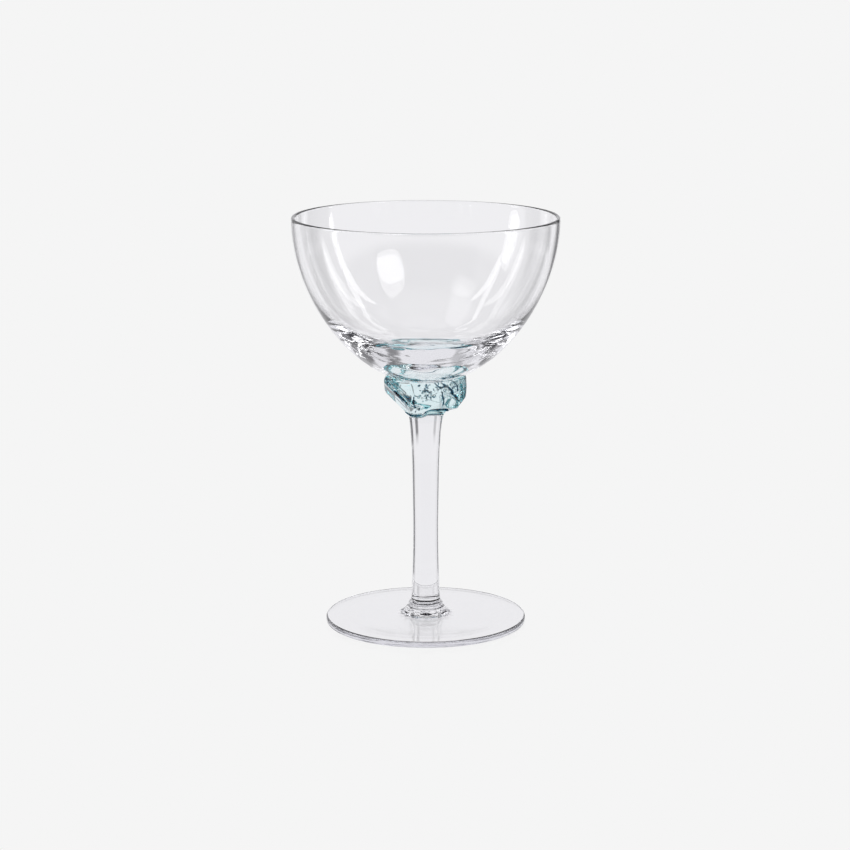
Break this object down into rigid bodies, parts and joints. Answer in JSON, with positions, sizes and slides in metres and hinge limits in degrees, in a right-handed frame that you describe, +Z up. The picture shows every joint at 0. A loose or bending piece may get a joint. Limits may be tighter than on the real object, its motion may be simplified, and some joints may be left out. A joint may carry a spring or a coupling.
{
  "type": "stemmed cocktail glass",
  "caption": "Clear stemmed cocktail glass: deep open bowl on a crumpled turquoise nugget, a plain rod stem and a flat disc foot.",
  "frame": {"origin": "centre of the foot's standing ring, on the surface that the glass stands on", "axes": "+Z up along the stem's axis to the rim; X and Y lie in the standing plane"},
  "size_m": [0.1094, 0.1094, 0.17],
  "materials": {
    "clear_glass": "clear, fire-polished, smooth",
    "turquoise_glass": "pale turquoise, crumpled, with flat glossy facets"
  },
  "bodies": {
    "root": {"bowl": "clear_glass", "knop": "turquoise_glass", "stem": "clear_glass", "foot": "clear_glass"}
  },
  "joints": []
}
